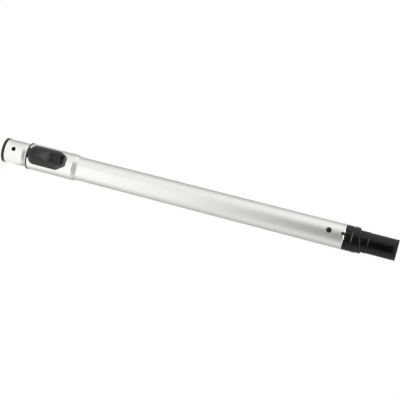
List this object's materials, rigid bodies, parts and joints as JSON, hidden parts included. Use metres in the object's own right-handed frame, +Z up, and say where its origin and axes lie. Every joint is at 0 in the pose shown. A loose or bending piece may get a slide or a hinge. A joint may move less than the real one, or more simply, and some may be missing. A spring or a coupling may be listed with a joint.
{
  "type": "telescopic vacuum wand",
  "caption": "Telescopic vacuum cleaner wand: nested aluminium tubes with a sliding thumb lock, a belled socket for the handle and a push-fit spigot for floor tools.",
  "frame": {"origin": "centre of the handle socket's mouth", "axes": "+Z up the wand from the handle socket to the tool spigot, -Y from the axis out through the thumb lock"},
  "size_m": [0.0432, 0.0481, 0.6198],
  "materials": {
    "satin_aluminium": "satin, drawn lengthwise",
    "black_trim": "smooth moulded",
    "black_cover": "fine moulded grain",
    "black_pad": "fine moulded grain",
    "black_adapter": "smooth moulded",
    "grey_plastic": "natural moulded",
    "black_rubber": "matt",
    "bright_steel": "bright drawn"
  },
  "bodies": {
    "inner": {"inner_tube": "satin_aluminium", "end_ring": "black_trim", "tail_bush": "grey_plastic"},
    "outer": {"outer_tube": "satin_aluminium", "guide_sleeve": "black_trim", "tube_seal": "black_rubber", "lock_cover": "black_cover", "return_spring": "bright_steel", "tool_adapter": "black_adapter", "button_spring": "bright_steel"},
    "slide": {"lock_carriage": "grey_plastic", "thumb_pad": "black_pad"},
    "roller": {"lock_roller": "bright_steel"},
    "button": {"snap_button": "black_pad"}
  },
  "joints": [
    {"name": "extension", "type": "slide", "parent": "inner", "child": "outer", "axis": [0, 0, 1], "range_m": [0, 0.36]},
    {"name": "thumb_slide", "type": "slide", "parent": "outer", "child": "slide", "axis": [0, 0, 1], "range_m": [0, 0.006], "stiffness_N_per_m": 300, "springref_m": -0.006, "deforming": ["return_spring"]},
    {"name": "roller_lift", "type": "slide", "parent": "outer", "child": "roller", "axis": [0, -1, 0], "range_m": [0, 0.00135]},
    {"name": "button_press", "type": "slide", "parent": "outer", "child": "button", "axis": [0, 1, 0], "range_m": [0, 0.0024], "stiffness_N_per_m": 800, "springref_m": -0.002, "deforming": ["button_spring"]}
  ],
  "couplings": [
    {"joint": "roller_lift", "follows": "thumb_slide", "ratio": 0.225}
  ]
}
